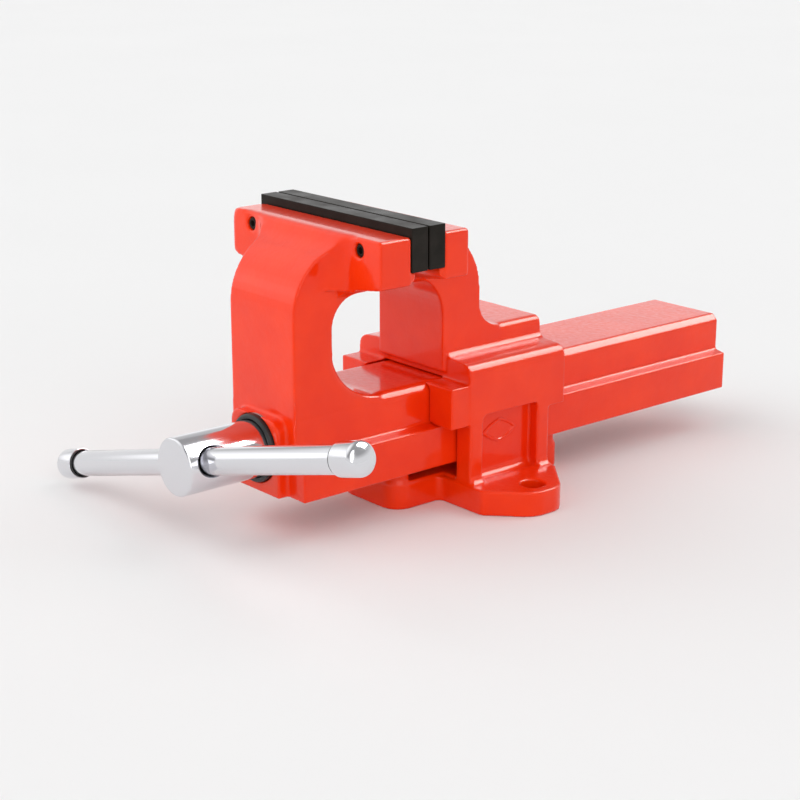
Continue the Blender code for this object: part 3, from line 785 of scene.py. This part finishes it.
def make_handle(materials):
    bar_profile = [
        (0, BAR_HALF_LENGTH),
        (BAR_RADIUS, BAR_HALF_LENGTH),
        (BAR_RADIUS, -BAR_HALF_LENGTH),
        (0, -BAR_HALF_LENGTH),
    ]
    bar = mesh_piece("tommy_bar", turned_shape(softened(bar_profile, {1: 1, 2: 1}), 96), on_bar(0))
    install(smooth_by_angle(bar), "handle", "handle_chrome", materials["handle"], "handle_bar")
    bore = BAR_RADIUS + GAP
    for label, outward in (("left", -1), ("right", 1)):
        crown = [(CAP_RADIUS * 0.5 * step / 6, CAP_OUTER - 0.7 * (step / 6) ** 2) for step in range(7)]
        profile = crown + [
            (CAP_RADIUS, CAP_OUTER - 2.2),
            (CAP_RADIUS, CAP_INNER),
            (bore, CAP_INNER),
            (bore, BAR_HALF_LENGTH + GAP),
            (0, BAR_HALF_LENGTH + GAP),
        ]
        profile = softened(profile, {7: 4.0, 8: 0.5}, 8)
        cap = mesh_piece(f"bar_cap_{label}", turned_shape(profile, 96), on_bar(0, outward))
        node = f"handle_cap_{label}"
        install(smooth_by_angle(cap, 40), "handle", "handle_chrome", materials["handle"], node)
        ring_radius = CAP_RADIUS - 0.6
        ring_outer = CAP_INNER - GAP
        ring_inner = CAP_INNER - 1.4
        profile = [
            (bore, ring_outer),
            (ring_radius, ring_outer),
            (ring_radius, ring_inner),
            (bore, ring_inner),
        ]
        profile = softened(profile, {1: 0.4, 2: 0.4}, 4)
        ring_shape = turned_shape(profile, 64, closed=True)
        ring = mesh_piece(f"bar_bumper_{label}", ring_shape, on_bar(0, outward))
        node = f"handle_ring_{label}"
        install(smooth_by_angle(ring, 40), "handle", "bumper_rubber", materials["rubber"], node)


def make_seal(materials):
    """The glossy black ring around the spindle's head, with a rounded lip."""
    front, rear = span("spindle_seal_ring", Y)
    outer = span("spindle_seal_ring", X)[1]
    inner = HEAD_RADIUS + GAP
    height = rear - front
    profile = [(inner, height), (outer, height), (outer, 0), (inner, 0)]
    profile = softened(profile, {2: 1.4, 3: 0.8}, 6)
    seal = mesh_piece("head_seal", turned_shape(profile, 96, closed=True), on_spindle(front))
    install(smooth_by_angle(seal, 40), "slide", "seal_rubber", materials["rubber"], "spindle_seal_ring")


# ---------------------------------------------------------------- recess marks


def make_marks(materials):
    """A plain raised lozenge with rounded corners and a sunk middle on each recess's floor."""
    middle_y = (RECESS_FRONT + RECESS_REAR) / 2 - 3
    middle_z = 46.0
    half_y, half_z = 15.0, 8.0
    power = 1.3  # 1 would give sharp corners and 2 an ellipse
    steps = 48
    # share of the full size, and rise above the recess's floor
    levels = [(1.0, -1.0), (1.0, 0.6), (0.94, 0.9), (0.82, 0.9), (0.74, 0.3)]
    for label, hand in (("left", -1), ("right", 1)):
        shape = bmesh.new()
        rings = []
        for share, rise in levels:
            ring = []
            for step in range(steps):
                angle = 2 * math.pi * step / steps
                reach = (abs(math.cos(angle)) ** power + abs(math.sin(angle)) ** power) ** (-1 / power)
                y = middle_y + half_y * share * reach * math.cos(angle)
                z = middle_z + half_z * share * reach * math.sin(angle)
                ring.append(shape.verts.new(Vector((hand * (RECESS_WALL + rise), y, z)) * MM))
            rings.append(ring)
        for inner, outer in zip(rings, rings[1:]):
            for index in range(steps):
                after = (index + 1) % steps
                shape.faces.new((inner[index], inner[after], outer[after], outer[index]))
        shape.faces.new(rings[0])
        shape.faces.new(rings[-1])
        bmesh.ops.recalc_face_normals(shape, faces=shape.faces)
        mark = smooth_by_angle(mesh_piece(f"recess_mark_{label}", shape), 30)
        install(mark, "base", "enamel_static", materials["enamel"])


# ---------------------------------------------------------------- small pieces kept from the CAD


def dress(name, node, body, slot, material, width=0.5):
    """A copy of a CAD piece with its flat faces joined up and its sharp edges bevelled."""
    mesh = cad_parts[node].data.copy()
    obj = bpy.data.objects.new(name, mesh)
    bpy.context.scene.collection.objects.link(obj)
    join_meshes(obj, [])
    shape = bmesh.new()
    shape.from_mesh(obj.data)
    bmesh.ops.dissolve_limit(
        shape, angle_limit=math.radians(0.5), verts=shape.verts, edges=shape.edges
    )
    shape.to_mesh(obj.data)
    shape.free()
    bevel = obj.modifiers.new("edges", "BEVEL")
    bevel.width = width * MM
    bevel.segments = 2
    bevel.limit_method = "ANGLE"
    bevel.angle_limit = math.radians(40)
    bake_modifiers(obj)
    smooth_by_angle(obj, 40)
    return install(obj, body, slot, material, node)


def make_small_pieces(materials):
    dress("bronze_nut", "spindle_nut", "base", "nut_bronze", materials["bronze"], 0.8)
    for label in ("front", "rear"):
        bolt = f"nut_bolt_{label}"
        dress(f"{bolt}_dressed", bolt, "base", "nut_bolts", materials["oxide"], 0.3)
        washer = f"nut_washer_{label}"
        dress(f"{washer}_dressed", washer, "base", "washers", materials["steel"], 0.25)
        for hand in ("left", "right"):
            screw = f"{label}_jaw_screw_{hand}"
            body = "slide" if label == "front" else "base"
            dress(f"{screw}_dressed", screw, body, "jaw_screws", materials["oxide"], 0.25)
    dress("thrust_ring", "thrust_washer", "slide", "washers", materials["steel"], 0.25)
    dress("dished_spring", "spring_washer", "screw", "washers", materials["steel"], 0.15)
    dress("pinned_collar", "retaining_collar", "screw", "collar_steel", materials["steel"], 0.5)
    dress("cross_pin", "collar_pin", "screw", "collar_steel", materials["steel"], 0.4)


# ---------------------------------------------------------------- studio


def make_floor():
    """A wide pale floor just below the object."""
    shape = bmesh.new()
    reach = 30.0
    below = 0.0002
    corners = [(-reach, -reach, 0), (reach, -reach, 0), (reach, reach, 0), (-reach, reach, 0)]
    shape.faces.new([shape.verts.new(corner) for corner in corners])
    floor = mesh_piece("studio_floor", shape)
    floor.location.z = -below
    material, nodes, links, shader = shader_material("pale_floor", (0.93, 0.93, 0.93), 0.9)
    tone = ramp(nodes, links, noise(nodes, links, 3.0), [(0.0, (0.85,) * 3), (1.0, (0.87,) * 3)])
    links.new(tone, shader.inputs["Base Color"])
    shader.inputs["Specular IOR Level"].default_value = 0.0
    floor.data.materials.append(material)


def soft_light(name, source, angle, strength, seen_by):
    """A far light, angle degrees across, from the direction source.

    seen_by says which shading it lights: matt, gloss or both.
    """
    data = bpy.data.lights.new(name, "SUN")
    data.angle = math.radians(angle)
    data.energy = strength
    lamp = bpy.data.objects.new(name, data)
    bpy.context.scene.collection.objects.link(lamp)
    lamp.rotation_euler = Vector(source).to_track_quat("Z", "Y").to_euler()
    lamp.visible_diffuse = seen_by != "gloss"
    lamp.visible_glossy = seen_by != "matt"
    return lamp


def make_sky():
    """A pale horizon under a dimmer sky, with a broad glow high on the left."""
    world = bpy.data.worlds.new("studio")
    bpy.context.scene.world = world
    world.use_nodes = True
    nodes = world.node_tree.nodes
    links = world.node_tree.links
    background = nodes["Background"]
    place = nodes.new("ShaderNodeTexCoord")
    height = nodes.new("ShaderNodeSeparateXYZ")
    links.new(place.outputs["Generated"], height.inputs["Vector"])
    pale = (0.88, 0.88, 0.88)
    dim = (0.40, 0.40, 0.40)
    sky = ramp(nodes, links, height.outputs["Z"], [(0.0, pale), (0.2, pale), (0.42, dim), (1.0, dim)])
    links.new(sky, background.inputs["Color"])
    towards = nodes.new("ShaderNodeVectorMath")
    towards.operation = "DOT_PRODUCT"
    towards.inputs[1].default_value = (-0.60, -0.40, 0.69)
    links.new(place.outputs["Generated"], towards.inputs[0])
    glow = spread(nodes, links, towards.outputs["Value"], 0.72, 1.0, 1.0, 3.2)
    links.new(glow, background.inputs["Strength"])


def make_light():
    """Soft light from the front and above, and softboxes behind that only glossy surfaces show."""
    make_sky()
    soft_light("left_front", (-0.45, -0.75, 0.50), 80, 1.0, "matt")
    soft_light("right_front", (0.80, -0.35, 0.50), 50, 0.9, "both")
    soft_light("above", (0.25, 0.55, 0.80), 40, 0.55, "both")
    soft_light("box_behind", (0.288, 0.619, 0.73), 42, 4.2, "gloss")
    soft_light("box_low", (-0.72, 0.62, 0.32), 44, 0.10, "gloss")


def make_camera():
    data = bpy.data.cameras.new("camera")
    data.sensor_width = 36.0
    data.lens = 80.62
    camera = bpy.data.objects.new("camera", data)
    bpy.context.scene.collection.objects.link(camera)
    camera.location = (0.8576, -0.7727, 0.4021)
    camera.rotation_euler = (math.radians(90 - 16.76), 0, math.radians(49.72))
    bpy.context.scene.camera = camera


# ---------------------------------------------------------------- the whole


bpy.context.scene.view_settings.view_transform = "Standard"
make_camera()
make_light()
make_floor()
materials = make_materials()
make_castings(materials)
serrated_plate("front_grip_plate", -1, materials["oxide"], "jaw_plate_front", "front_jaw_plate")
serrated_plate("rear_grip_plate", 1, materials["oxide"], "jaw_plate_rear", "rear_jaw_plate")
make_spindle(materials)
make_handle(materials)
make_seal(materials)
make_marks(materials)
make_small_pieces(materials)
